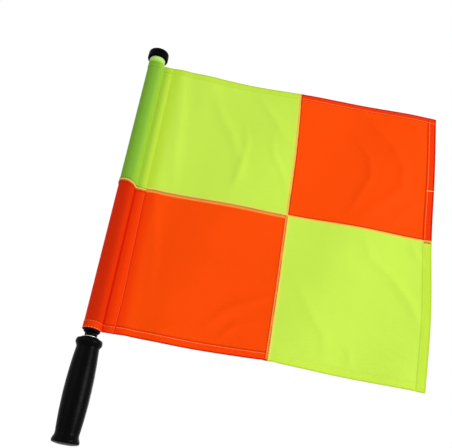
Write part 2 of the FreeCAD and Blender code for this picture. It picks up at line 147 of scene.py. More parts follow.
OUT_OF_SQUARE = [
    [(0.0, 0.0), (-1.1, -2.1), (-2.0, -0.7), (-2.4, -2.7), (-2.3, -4.4)],
    [(0.0, -0.4), (-0.1, -0.5), (-0.1, 1.1), (0.7, 0.5), (2.2, 0.4)],
    [(0.0, -0.5), (0.4, 0.5), (0.6, 1.3), (1.0, 2.1), (1.2, 3.6)],
    [(0.0, -0.4), (0.4, 0.0), (0.8, 1.0), (1.5, 4.0), (2.4, 3.8)],
    [(0.0, 0.0), (0.0, -1.2), (-2.2, -0.9), (-0.9, 3.7), (0.2, 2.3)],
]

# The fly half is sewn on a little higher at the level seam, and the foot is gathered at two places:
# (distance from the pole's axis, reach, rise)

FLY_STEP = 1.5
STEP_REACH = 80.0
FOOT_GATHERS = [(CENTRE_SEAM, 15.0, 0.9), (FLAP_EDGE + 3.0, 7.0, -0.6)]
GATHER_HEIGHT = 25.0

# The sleeve is sewn down askew: shifts up at the foot, the level seam and the top, each at even
# steps round the pole from the back to the flap's edge in front

SLEEVE_SKEW = [
    [0.0, -0.6, -1.3, -0.8, -1.7, -0.4],
    [0.0, 2.2, 4.0, 3.6, -0.6, -2.2],
    [0.0, 0.0, -0.3, -1.6, -1.5, -1.4],
]

# How far the flap's edge strays from its straight line, at even steps from the foot to the top

FLAP_WANDER = [1.0, 2.1, 1.1, 0.4, -0.4, -0.6, -0.6, -0.4, -0.6]


def smooth(value, low, high):
    """0 below low, 1 above high, and an even bend between."""
    share = min(max((value - low) / (high - low), 0.0), 1.0)
    return share * share * (3 - 2 * share)


def closeness(gap, reach):
    """1 where there is no gap, falling smoothly towards 0 beyond the reach."""
    return math.exp(-((gap / reach) ** 2))


def from_line(point, line):
    """How far a point is from a line of points, and how far along the line the nearest spot is,
    0 to 1."""
    best, where = 1e9, 0.0
    for index, (start, end) in enumerate(zip(line, line[1:])):
        run = Vector(end) - Vector(start)
        reach = Vector(point) - Vector(start)
        share = min(max(reach.dot(run) / run.length_squared, 0.0), 1.0)
        gap = (reach - run * share).length
        if gap < best:
            best, where = gap, (index + share) / (len(line) - 1)
    return best, where


def with_reach(rise, half_width, line):
    """A ridge with the lowest and highest places that it reaches."""
    reach = 3 * half_width
    along, above = zip(*line)
    return (rise, half_width, line, min(along) - reach, max(along) + reach,
            min(above) - reach, max(above) + reach)


PLACED_RIDGES = [with_reach(*ridge) for ridge in RIDGES]


def ridges(along, above):
    """How far the ridges bring the cloth forward."""
    total = 0.0
    for rise, half_width, line, near, far, low, high in PLACED_RIDGES:
        if near < along < far and low < above < high:
            gap, where = from_line((along, above), line)
            ends = math.sin(math.pi * min(max(where, 0.04), 0.96)) ** 0.5
            total += rise * ends * closeness(gap, half_width)
    return total


def puckers(along, up):
    """Small gathers that sewing leaves beside each hem and seam."""
    level = noise.noise(Vector((along / PUCKER_SHORT, up / PUCKER_LONG, 1.7)))
    upright = noise.noise(Vector((along / PUCKER_LONG, up / PUCKER_SHORT, 4.1)))
    total = 0.0
    for gap in (TOP_HEM_LINE - up, up - BOTTOM_HEM_LINE, abs(up - FLAG_MIDDLE)):
        total += closeness(gap, PUCKER_REACH) * level
    for gap in (FLY_HEM_LINE - along, abs(along - CENTRE_SEAM)):
        total += closeness(gap, PUCKER_REACH) * upright
    return PUCKER_DEPTH * total


def fold(along, up):
    """How far the cloth lies behind the pole's plane."""
    reach = max(along - FLAP_EDGE, 0.0)
    rise = (1 - math.cos(math.pi * min(reach / FOLD_START, 1.0))) / 2
    turn = (reach - FOLD_LEAN * (up - FLAG_MIDDLE)) / FOLD_PITCH + FOLD_PHASE
    growth = (1 + reach / (FLY_EDGE - FLAP_EDGE)) / 2
    long_fold = FOLD_DEPTH * rise * growth * math.sin(2 * math.pi * turn)
    left = max(1 - reach / RIPPLE_REACH, 0.0)
    ripple = RIPPLE_DEPTH * left * left * math.sin(2 * math.pi * reach / RIPPLE_PITCH)
    hem = HEM_SWELL * smooth(along, FLY_HEM_LINE - 1.2, FLY_HEM_LINE + 0.6)
    free = smooth(reach, 0.0, RIDGE_START)
    return long_fold - ripple - hem - free * (ridges(along, up - FLAG_FOOT) - puckers(along, up))


def through(values, share):
    """The smooth curve through evenly spaced values, at a share of its length."""
    place = min(max(share, 0.0), 1.0) * (len(values) - 1)
    index = min(int(place), len(values) - 2)
    part = place - index
    first, second = values[index], values[index + 1]
    before = values[index - 1] if index else 2 * first - second
    after = values[index + 2] if index + 2 < len(values) else 2 * second - first
    bend = 2 * before - 5 * first + 4 * second - after
    twist = 3 * first - before - 3 * second + after
    return first + (part * (second - before) + part ** 2 * bend + part ** 3 * twist) / 2


def cut_shift(along, up):
    """How far a spot of the cloth is moved because the cut is out of square."""
    across = along / FLY_EDGE
    above = (up - FLAG_FOOT) / FLAG_HEIGHT
    shifts = []
    for axis in (0, 1):
        rows = [through([spot[axis] for spot in row], across) for row in OUT_OF_SQUARE]
        shifts.append(through(rows, above))
    gather = sum(rise * closeness(along - place, reach) for place, reach, rise in FOOT_GATHERS)
    gather *= math.exp(-max(up - FLAG_FOOT, 0.0) / GATHER_HEIGHT)
    step = FLY_STEP * smooth(along, CENTRE_SEAM - CLOTH, CENTRE_SEAM + CLOTH)
    step *= closeness(up - FLAG_MIDDLE, STEP_REACH)
    return shifts[0], shifts[1] + gather + step


def crease(depth):
    """The bend between the sleeve's round and what lies flat beside the pole, at that depth: its
    end, its turn, and the angle at which the round begins."""
    side = depth + CREASE_ROUND
    reach = math.sqrt((SLEEVE_RADIUS + CREASE_ROUND) ** 2 - side * side)
    return reach, math.atan2(reach, side), math.atan2(side, reach)


# Where the parts of the sleeve begin along the cut: the field bends behind the pole, the round goes
# over its back, its far side and its front, and the flap comes back over the field's face

FIELD_START, CREASE_TURN, ROUND_START = crease(LAYER)
FLAP_START, FLAP_CREASE_TURN, ROUND_STOP = crease(FLAP_LIFT)
CREASE_END = FIELD_START - CREASE_ROUND * CREASE_TURN
ROUND_END = CREASE_END - SLEEVE_RADIUS * (2 * math.pi - ROUND_START - ROUND_STOP)
FLAP_BEND = ROUND_END - CREASE_ROUND * FLAP_CREASE_TURN
FLAP_CUT = FLAP_BEND - (FLAP_EDGE - FLAP_START)
STITCH_CUT = FLAP_CUT + FLAP_EDGE - SLEEVE_STITCH


def on_cloth(along, up, depth=0.0):
    """A spot of the flag's cloth. Along is the distance from the pole's axis, and below the field's
    start it goes on along the cut, round the sleeve. Depth goes from the cloth's face to its wrong
    side, which is the outer side of the sleeve."""
    above = (up - FLAG_FOOT) / FLAG_HEIGHT
    if along >= FIELD_START:
        x = along
        settled = smooth(along, FLAP_EDGE, FLAP_EDGE + FIELD_SETTLE)
        y = fold(along, up) + LAYER * (1 - 2 * settled)
        way = (0.0, 1.0)
    elif along >= CREASE_END:
        angle = (FIELD_START - along) / CREASE_ROUND
        way = (math.sin(angle), math.cos(angle))
        x = FIELD_START - CREASE_ROUND * way[0]
        y = LAYER + CREASE_ROUND - CREASE_ROUND * way[1]
    elif along >= ROUND_END:
        angle = ROUND_START + (CREASE_END - along) / SLEEVE_RADIUS
        way = (math.cos(angle), math.sin(angle))
        x, y = SLEEVE_RADIUS * way[0], SLEEVE_RADIUS * way[1]
    elif along >= FLAP_BEND:
        angle = (along - FLAP_BEND) / CREASE_ROUND
        way = (math.sin(angle), -math.cos(angle))
        x = FLAP_START - CREASE_ROUND * way[0]
        y = -FLAP_LIFT - CREASE_ROUND - CREASE_ROUND * way[1]
    else:
        x = FLAP_START + FLAP_BEND - along
        across = min((x - FLAP_START) / (SLEEVE_STITCH - FLAP_START), 1.0)
        x += across * through(FLAP_WANDER, above)
        y = -FLAP_LIFT - FLAP_BULGE * math.sin(math.pi * across) ** 2
        way = (0.0, -1.0)
    x += depth * way[0]
    y += depth * way[1]
    right, rise = cut_shift(max(x, 0.0), up)
    if along < CREASE_END:
        share = (CREASE_END - along) / (CREASE_END - FLAP_CUT)
        rise += through([through(row, share) for row in SLEEVE_SKEW], above)
        right -= SLEEVE_SLACK * (1 - above) * smooth(-x, -SLACK_SIDE, SLACK_SIDE)
    return Vector((x + right, y, up + rise))


# Making pieces


def in_scene(name, data):
    """A new object in the scene."""
    made = bpy.data.objects.new(name, data)
    bpy.context.scene.collection.objects.link(made)
    return made


def finished(bm, name, finishes, stands_for, body="pole", sharp=35.0):
    """Makes an object of a mesh in millimetres, smooth but for its sharp edges."""
    bmesh.ops.scale(bm, vec=(MM, MM, MM), verts=bm.verts)
    mesh = bpy.data.meshes.new(name)
    bm.to_mesh(mesh)
    bm.free()
    mesh.shade_smooth()
    mesh.set_sharp_from_angle(angle=math.radians(sharp))
    for finish in finishes:
        mesh.materials.append(finish.material)
    piece = in_scene(name, mesh)
    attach(piece, body)
    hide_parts(*stands_for)
    return piece


def outline(corners, closed):
    """A half section as a line of edges. A corner is (radius, height, how much it is rounded)."""
    bm = bmesh.new()
    spots = [bm.verts.new((c[0], 0.0, c[1])) for c in corners]
    pairs = list(zip(spots, spots[1:]))
    if closed:
        pairs.append((spots[-1], spots[0]))
    for start, end in pairs:
        bm.edges.new((start, end))
    return bm


def rounded(bm, corners):
    """Rounds the corners that have a third number, from that far along their edges."""
    for corner in corners:
        if len(corner) > 2:
            place = Vector((corner[0], 0.0, corner[1]))
            spot = min(bm.verts, key=lambda v: (v.co - place).length)
            bmesh.ops.bevel(bm, geom=[spot], offset=corner[2], segments=7, profile=0.5,
                            affect="VERTICES", material=-1)


def spun(bm, steps=96):
    """Turns a half section round the pole's axis."""
    bmesh.ops.spin(bm, geom=bm.verts[:] + bm.edges[:], cent=(0, 0, 0), axis=(0, 0, 1),
                   angle=2 * math.pi, steps=steps, use_merge=True)
    bmesh.ops.remove_doubles(bm, verts=bm.verts, dist=1e-4)
    bmesh.ops.recalc_face_normals(bm, faces=bm.faces)
    return bm


def turned(corners, closed=True):
    """A piece turned from a half section."""
    bm = outline(corners, closed)
    rounded(bm, corners)
    return spun(bm)


# Finishes: a small class writes the sums of a node tree as sums


class Wire:
    """The output of a node, for use in sums."""

    def __init__(self, nodes, socket):
        self.nodes = nodes
        self.socket = socket

    def sum(self, operation, *others):
        """One Math node, with this output first and the others after it."""
        inputs = dict(enumerate((self, *others)))
        return self.nodes.node("Math", {"operation": operation}, inputs)

    def __add__(self, other):
        return self.sum("ADD", other)

    def __sub__(self, other):
        return self.sum("SUBTRACT", other)

    def __mul__(self, other):
        return self.sum("MULTIPLY", other)

    def __truediv__(self, other):
        return self.sum("DIVIDE", other)

    def __rsub__(self, other):
        return self.sum("MULTIPLY", -1.0) + other


class Nodes:
    """A node tree, and the one way in which its nodes are made."""

    def __init__(self, tree):
        self.tree = tree

    def put(self, socket, value):
        """Links an output to a socket, or writes a plain value there."""
        if isinstance(value, Wire):
            self.tree.links.new(value.socket, socket)
        else:
            socket.default_value = value

    def node(self, kind, settings=None, inputs=None, output=0):
        """Any node: its settings go in first, and then its inputs."""
        made = self.tree.nodes.new("ShaderNode" + kind)
        for name, value in (settings or {}).items():
            setattr(made, name, value)
        for name, value in (inputs or {}).items():
            self.put(made.inputs[name], value)
        return Wire(self, made.outputs[output])

    def steps(self, value, low, high, to_low=0.0, to_high=1.0):
        """Maps a value from one range onto another, held at its ends."""
        return self.node("MapRange", {"interpolation_type": "SMOOTHSTEP"}, {
            "Value": value, "From Min": low, "From Max": high,
            "To Min": to_low, "To Max": to_high})

    def largest(self, first, *others):
        """The largest of some values."""
        for other in others:
            first = first.sum("MAXIMUM", other)
        return first

    def shows_background(self):
        """1 for the rays that show the background: the camera's and those in metal and glass."""
        return self.largest(*(self.node("LightPath", output=f"Is {ray} Ray")
                              for ray in ("Camera", "Glossy", "Transmission")))


class Finish(Nodes):
    """A procedural material round one Principled shader."""

    def __init__(self, name, **constants):
        self.material = bpy.data.materials.new(name)
        self.material.use_nodes = True
        super().__init__(self.material.node_tree)
        self.shader = self.tree.nodes["Principled BSDF"]
        for socket, value in constants.items():
            self.shader.inputs[socket.replace("_", " ")].default_value = value

    def place(self):
        """Where a spot is on the object."""
        return self.node("TexCoord", output="Object")

    def grain(self, scale, detail=3.0):
        """Noise with grains of about 1 / scale metres."""
        return self.node("TexNoise", None, {"Vector": self.place(), "Scale": scale,
                                            "Detail": detail, "Roughness": 0.55})

    def mix(self, share, first, second, blend="MIX"):
        """A colour between two colours."""
        return self.node("Mix", {"data_type": "RGBA", "blend_type": blend},
                         {0: share, 6: first, 7: second}, output=2)

    def measure(self, name):
        """A number kept on the mesh under that name."""
        return self.node("Attribute", {"attribute_name": name}, output="Fac")

    def axes(self, where):
        """The three parts of a place."""
        parts = self.node("SeparateXYZ", None, {0: where})
        return [Wire(self, output) for output in parts.socket.node.outputs]

    def line(self, value, centre, half_width):
        """1 where a value is at the centre, 0 from half a width away."""
        gap = (value - centre).sum("ABSOLUTE")
        return self.steps(gap, half_width * 0.3, half_width, 1.0, 0.0)

    def sine(self, value, pitch):
        """A wave, -1 to 1, that repeats at each pitch."""
        return (value * (2 * math.pi / pitch)).sum("SINE")

    def varied(self, colour, roughness, relief, depth):
        """Gives the shader what varies over the surface. The depth is how deep a relief of 1 is,
        in metres."""
        bump = self.node("Bump", None, {"Height": relief, "Distance": depth})
        for socket, value in (("Base Color", colour), ("Roughness", roughness), ("Normal", bump)):
            self.put(self.shader.inputs[socket], value)
        return self


def screen(red, green, blue):
    """A colour as it is seen on a screen, 0 to 255, as the shader needs it."""
    linear = []
    for value in (red, green, blue):
        share = value / 255
        linear.append(share / 12.92 if share <= 0.04045 else ((share + 0.055) / 1.055) ** 2.4)
    return (*linear, 1.0)


THREAD_PITCH = 0.42
CREASE_BAND = 2.6


def cloth_finish(name, field, over_tube, double, crease_shade, edge, beside, painted_far_light,
                 band_shade, foot_line):
    """Woven polyester: a fine plain weave, the dark tube showing through the sleeve, and a deeper
    colour where two layers lie on each other. Painted shade darkens the sleeve's crease and the
    band beside it, the field beside the flap's edge, lines along the flap and beside the hems'
    inner edges, and the cloth's outer edges, and the top and fly hems are a little darker; painted
    light lightens the far side of the orange sleeve. The cloth's UV map gives its cut in
    millimetres."""
    finish = Finish(name, Specular_IOR_Level=0.03, Sheen_Weight=0.04, Sheen_Roughness=0.5,
                    Sheen_Tint=field)
    cut = finish.node("UVMap", {"uv_map": "cut"})
    along, up, _ = finish.axes(cut)
    weave = finish.sine(along, THREAD_PITCH) * finish.sine(up, THREAD_PITCH)
    slub = finish.node("TexNoise", {"noise_dimensions": "2D"}, {
        "Vector": finish.node("Mapping", None, {"Vector": cut, "Scale": (0.08, 1.6, 1.0)}),
        "Scale": 1.0, "Detail": 2.0})
    cloud = finish.grain(14.0, 2.0)
    tint = finish.largest(finish.measure("tube"), finish.measure("band") * band_shade)
    # Painted shade along the sleeve's front crease
    in_crease = finish.line(along, (ROUND_END + FLAP_BEND) / 2, CREASE_BAND)
    # Painted shade lines: along the flap's turned edge, beside its edge on the field, beside the
    # hems' inner edges and along the cloth's outer edges; each is (coordinate, centre, half width,
    # share)
    shaded_lines = [
        (along, FLAP_CUT, 1.5, 0.65), (along, FLAP_EDGE + 1.0, 1.6, 0.2),
        (along, FLY_HEM_LINE - 2.2, 1.4, 0.8), (up, TOP_HEM_LINE - 0.9, 1.2, 0.5),
        (up, BOTTOM_HEM_LINE + 1.7, 1.3, foot_line), (along, FLY_EDGE - 0.5, 3.0, 1.0),
        (up, FLAG_TOP, 3.2, 1.0), (up, FLAG_FOOT, 2.0, 1.0)]
    # Where the painted shade falls: the lines above, the mitre, and a darker band over the top and
    # fly hems
    painted_dip_shade = finish.largest(
        finish.steps(up, TOP_HEM_LINE, TOP_HEM_LINE + 1.0) * 0.22,
        finish.steps(along, FLY_HEM_LINE, FLY_HEM_LINE + 1.0) * 0.27,
        *(finish.line(value, centre, half_width) * depth
          for value, centre, half_width, depth in shaded_lines),
        mitre(finish, along, up))
    # Tints over the field: random cloud and slub, two layers, painted shadow beside the flap's
    # edge, the dark tube with the painted shade of the band by the crease, painted light on the
    # orange sleeve's far side, painted shade in the crease, and the painted shade lines in the edge
    # colour
    base = field
    for share, colour in (
            (finish.steps(cloud, 0.3, 0.7, 0.0, 0.5), shade_of(field, 0.93)),
            (finish.steps(slub, 0.35, 0.75, 0.0, 0.3), shade_of(field, 1.06)),
            (finish.measure("double"), double), (finish.measure("beside"), beside),
            (tint, over_tube), (finish.measure("far"), painted_far_light),
            (in_crease * 0.85, crease_shade), (painted_dip_shade * (1.0 - tint), edge)):
        base = finish.mix(share, base, colour)
    shade = finish.steps(weave, -1.0, 1.0, 0.955, 1.0)
    weave_shade = finish.node("CombineColor", None, {0: shade, 1: shade, 2: shade})
    return finish.varied(
        finish.mix(1.0, base, weave_shade, "MULTIPLY"),
        finish.steps(cloud, 0.3, 0.7, 0.52, 0.62), weave * 0.5 + slub * 0.5, 0.00006)


def shade_of(colour, share, lift=0.0):
    """A colour made lighter or darker."""
    return [min(part * share + lift, 1.0) for part in colour[:3]] + [1.0]


def mitre(finish, along, up):
    """Painted shade along the slanting fold where the fly hem and the bottom hem meet."""
    from_edge = (FLY_EDGE - along) * (BOTTOM_HEM / FLY_HEM)
    from_foot = up - FLAG_FOOT
    in_corner = finish.steps(from_foot, BOTTOM_HEM - 1.0, BOTTOM_HEM, 1.0, 0.0)
    return finish.line(from_edge - from_foot, 0.0, 0.9) * in_corner * 0.8


def thread_finish(name, colour, shadow):
    """Sewing thread, with its twist."""
    finish = Finish(name, Specular_IOR_Level=0.15)
    twist = finish.grain(2600.0, 1.0)
    return finish.varied(
        finish.mix(finish.steps(twist, 0.35, 0.65), shadow, colour),
        finish.steps(twist, 0.3, 0.7, 0.5, 0.7), twist, 0.00008)


def rubber_finish(name, colour, grain_size, shine):
    """Black moulded rubber: a fine grain, a dusty bloom and patches rubbed smoother. The grain's
    size is in metres."""
    finish = Finish(name, Specular_IOR_Level=shine)
    fine = finish.grain(1 / grain_size, 2.0)
    bloom = finish.grain(60.0, 4.0)
    worn = finish.grain(220.0, 3.0)
    dusty = shade_of(colour, 1.8, 0.0005)
    base = finish.mix(finish.steps(bloom, 0.45, 0.8, 0.0, 0.55), colour, dusty)
    return finish.varied(
        finish.mix(finish.steps(fine, 0.55, 0.8, 0.0, 0.35), base, dusty),
        finish.steps(worn, 0.35, 0.7, 0.26, 0.38), fine * 0.7 + worn * 0.3, 0.00007)


def plastic_finish(name, colour, shine=0.12):
    """Moulded plastic with faint turning marks."""
    finish = Finish(name, Specular_IOR_Level=shine)
    _, _, level = finish.axes(finish.place())
    marks = finish.sine(level, 0.0006)
    cloud = finish.grain(180.0)
    lighter = shade_of(colour, 1.4, 0.001)
    return finish.varied(
        finish.mix(finish.steps(cloud, 0.45, 0.75, 0.0, 0.4), colour, lighter),
        finish.steps(cloud, 0.3, 0.7, 0.3, 0.45), marks * 0.3 + cloud * 0.7, 0.00003)


def ring_finish(name, pale, green, shade):
    """The stop ring's plastic: green, with a band of painted light below the cap where light comes
    through its rim, and painted shade inside the sleeve.
    """
    finish = Finish(name, Specular_IOR_Level=0.15)
    _, _, level = finish.axes(finish.place())
    above = level / MM - foot("stop_ring")
    cloud = finish.grain(180.0)
    base = finish.mix(finish.steps(above, 1.6, 2.4), green, pale)
    return finish.varied(
        finish.mix(finish.steps(above, -1.8, -0.8, 1.0, 0.0), base, shade),
        finish.steps(cloud, 0.3, 0.7, 0.35, 0.5), cloud, 0.00003)


def metal_finish(name, colour, dull, low=0.22, high=0.4):
    """Turned metal: fine rings from the tool and duller patches."""
    finish = Finish(name, Metallic=1.0)
    across, depth, _ = finish.axes(finish.place())
    reach = (across * across + depth * depth).sum("SQRT")
    rings = finish.sine(reach, 0.00035)
    cloud = finish.grain(300.0, 4.0)
    return finish.varied(
        finish.mix(finish.steps(cloud, 0.35, 0.7), colour, dull),
        finish.steps(cloud, 0.3, 0.7, low, high), rings * 0.5 + cloud * 0.5, 0.000015)


# Cloth colours: the crease, edge and beside colours are painted shade, the far side colour is
# painted light on the orange sleeve, over the tube is the dark tube seen through the sleeve, and
# double is the colour of two layers
yellow_cloth = cloth_finish(
    "yellow_cloth", field=screen(198, 235, 80), over_tube=screen(126, 180, 55),
    double=screen(200, 234, 68), crease_shade=screen(160, 205, 44), edge=screen(178, 214, 54),
    beside=screen(192, 228, 60), painted_far_light=screen(126, 180, 55), band_shade=0.55,
    foot_line=0.12)
orange_cloth = cloth_finish(
    "orange_cloth", field=screen(251, 75, 3), over_tube=screen(206, 40, 2),
    double=screen(250, 62, 3), crease_shade=screen(204, 6, 1), edge=screen(196, 20, 1),
    beside=screen(248, 60, 2), painted_far_light=screen(240, 48, 4), band_shade=0.35, foot_line=0.5)
grip_rubber = rubber_finish("grip_rubber", screen(2, 2, 2), 0.0005, 0.04)
cap_rubber = rubber_finish("cap_rubber", screen(4, 3, 5), 0.0007, 0.02)
black_plastic = plastic_finish("black_plastic", screen(6, 6, 6), 0.03)
# Painted light of the rim, the ring's own green, and painted shade inside the sleeve
ring_plastic = ring_finish(
    "ring_plastic", screen(190, 228, 142), screen(166, 222, 56), screen(100, 150, 28))
pole_plastic = plastic_finish("pole_plastic", screen(38, 40, 42))
bright_zinc = metal_finish(
    "bright_zinc", screen(222, 219, 217), screen(196, 192, 188), 0.45, 0.6)
bearing_bronze = metal_finish("bearing_bronze", screen(186, 140, 84), screen(140, 98, 56))
bolt_steel = metal_finish("bolt_steel", screen(170, 172, 174), screen(120, 120, 122))
handle_alloy = metal_finish("handle_alloy", screen(176, 178, 180), screen(140, 142, 146))
(hem_thread, lime_thread, flap_thread, seam_thread, hole_shade_thread, pale_thread, ditch_shadow_thread,
 brown_thread) = (
    thread_finish(name, screen(*colour), screen(*shadow)) for name, colour, shadow in (
        ("hem_thread", (255, 170, 100), (250, 132, 66)),
        ("lime_thread", (216, 244, 104), (196, 226, 76)),
        ("flap_thread", (255, 116, 54), (248, 88, 34)),
        ("seam_thread", (255, 186, 88), (252, 150, 60)),
        # Dark thread for the painted shade of needle holes and loops
        ("hole_shade_thread", (104, 66, 6), (60, 34, 2)),
        ("pale_thread", (255, 222, 112), (246, 202, 86)),
        # Rust-coloured thread for the painted shadow in the seam's ditch
        ("ditch_shadow_thread", (206, 62, 5), (170, 40, 3)),
        ("brown_thread", (176, 52, 8), (120, 24, 4))))

# Finishes of the CAD pieces that stay inside

for node, finish in (("handle_tube", handle_alloy), ("swivel_bush", bearing_bronze),
                     ("thrust_washer", bolt_steel), ("swivel_bolt", bolt_steel),
                     ("lock_nut", bright_zinc), ("pole_tube", pole_plastic)):
    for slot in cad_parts[node].material_slots:
        slot.material = finish.material


# Turned pieces. The barrel's waists are that far from the grip's ends, and its belly stands that
# much out from a straight line between them.

LOWER_WAIST = 10.5
UPPER_WAIST = 10.0
BELLY = 2.45
RING_SKIRT = 3.0


def make_grip():
    """The rubber grip: domed end, conical foot, barrel, waist, rolled flange and shoulder."""
    low, high = foot("grip"), head("grip")
    bottom, top = low + LOWER_WAIST, high - UPPER_WAIST
    tube = radius_of("handle_tube")
    corners = [
        (0.0, low), (8.0, low, 2.0), (14.4, low + 1.45, 1.0), (15.75, low + 2.6, 1.0),
        (15.75, low + 5.0, 0.5), (13.4, bottom, 2.2), (13.3, top, 1.6), (14.5, high - 7.4, 1.0),
        (15.75, high - 5.8, 1.3), (15.8, high - 3.4, 1.2), (15.0, high - 0.3, 1.4),
        (11.6, high, 1.0), (tube, high), (tube, high - 3.0)]
    bm = outline(corners, False)
    barrel = [edge for edge in bm.edges
              if min(vert.co.z for vert in edge.verts) < 0 < max(vert.co.z for vert in edge.verts)
              and min(vert.co.x for vert in edge.verts) > tube]
    bmesh.ops.subdivide_edges(bm, edges=barrel, cuts=31)
    for vert in bm.verts:
        share = (vert.co.z - bottom) / (top - bottom)
        if 0 < share < 1 and vert.co.x > tube:
            vert.co.x += BELLY * (1 - (2 * share - 1) ** 2)
    rounded(bm, corners)
    spun(bm, 112)
    finished(bm, "grip_rubber", [grip_rubber], ["grip"], "handle", 50)


def make_neck():
    """The collar at the top of the handle and the bright washer on it."""
    low, high = head("grip"), head("handle_collar")
    bush = radius_of("swivel_bush") - 1.6
    collar = turned([
        (bush, low - 2.0), (9.0, low - 2.0), (9.0, low), (10.5, low), (10.5, high, 0.7),
        (bush, high, 0.3)])
    finished(collar, "handle_collar_turned", [black_plastic], ["handle_collar"],
             "handle")
    low, high = foot("neck_washer"), head("neck_washer")
    washer = turned([(3.3, low), (7.5, low, 0.3), (7.5, high, 0.3), (3.3, high, 0.15)])
    finished(washer, "neck_washer_turned", [bright_zinc], ["neck_washer"],
             "handle", 60)


def make_plug():
    """The black stepped plug below the sleeve."""
    low, high, end = foot("pole_plug"), foot("pole_tube"), head("pole_plug")
    flange = high - 4.6
    plug = turned([
        (2.5, low), (7.4, low, 0.5), (7.4, flange - 2.0, 0.6), (9.9, flange, 0.6),
        (9.9, high, 0.4), (8.5, high), (8.5, end), (2.5, end)])
    finished(plug, "pole_plug_turned", [black_plastic], ["pole_plug"])


def make_stop_ring():
    """The pale ring between the sleeve and the cap, with a thin skirt inside the sleeve's top."""
    low, high = foot("stop_ring"), head("stop_ring")
    skirt = low - RING_SKIRT
    ring = turned([
        (10.02, skirt), (10.35, skirt), (10.35, low), (10.75, low, 0.3), (10.75, high, 0.2),
        (10.02, high)])
    finished(ring, "stop_ring_turned", [ring_plastic], ["stop_ring"])


def make_cap():
    """The domed rubber cap."""
    low, high, tube_end = foot("top_cap"), head("top_cap"), head("pole_tube")
    cap = turned([
        (0.0, high), (9.4, high - 0.25, 4.0), (14.05, high - 2.4, 2.4), (14.2, low + 2.2, 0.8),
        (13.9, low, 1.5), (10.6, low, 0.4), (10.0, low + 1.0), (10.0, tube_end),
        (0.0, tube_end)], closed=False)
    finished(cap, "top_cap_rubber", [cap_rubber], ["top_cap"], sharp=50)


# Cloth squares


BEND = math.pi * LAYER
# How much painted light lightens the far side of the orange sleeve
ORANGE_FAR_LIGHT = 0.8


def turned_edge(edge, side, turn):
    """Places from an edge round its bend and on under it, outwards."""
    quarters = (1, 2, 3, 4)
    return ([edge + side * BEND * k / 4 for k in quarters]
            + [edge + side * (BEND + turn * k / 4) for k in quarters])


def edge_runs(low, high, turn_low, turn_high):
    """Places across a cut square: evenly spaced where it lies flat, close where an edge turns over,
    and few in what is turned under. They count on along the cut beyond the edges."""
    flat_low = low + LAYER if turn_low else low
    flat_high = high - LAYER if turn_high else high
    count = max(round((flat_high - flat_low) / GRID), 1)
    runs = [flat_low + (flat_high - flat_low) * k / count for k in range(count + 1)]
    if turn_low:
        runs = turned_edge(flat_low, -1, turn_low)[::-1] + runs
    if turn_high:
        runs += turned_edge(flat_high, 1, turn_high)
    return runs


def turn_over(place, low, high, turn_low, turn_high):
    """Where a place on the cut comes to lie: along, how far round the fold at the edge, 0 to pi,
    and on which side."""
    for turn, edge, side in ((turn_low, low + LAYER, -1), (turn_high, high - LAYER, 1)):
        over = (place - edge) * side
        if turn and over > 0:
            return edge - side * max(over - BEND, 0.0), min(over / LAYER, math.pi), side
    return place, 0.0, 0


def sleeve_runs():
    """Places across the sleeve's cut, from the flap's turned edge round the pole to the field."""
    edge = FLAP_CUT + LAYER
    runs = turned_edge(edge, -1, FLAP_TURN)[::-1]
    for start, end, count in ((edge, FLAP_BEND, 8), (FLAP_BEND, ROUND_END, 5),
                              (ROUND_END, CREASE_END, 44), (CREASE_END, FIELD_START, 5)):
        runs += [start + (end - start) * k / count for k in range(count)]
    return runs


def over_line(value, line):
    """0 before a line, 1 beyond it, with a narrow bend between."""
    return smooth(value, line - 0.4, line + 0.4)


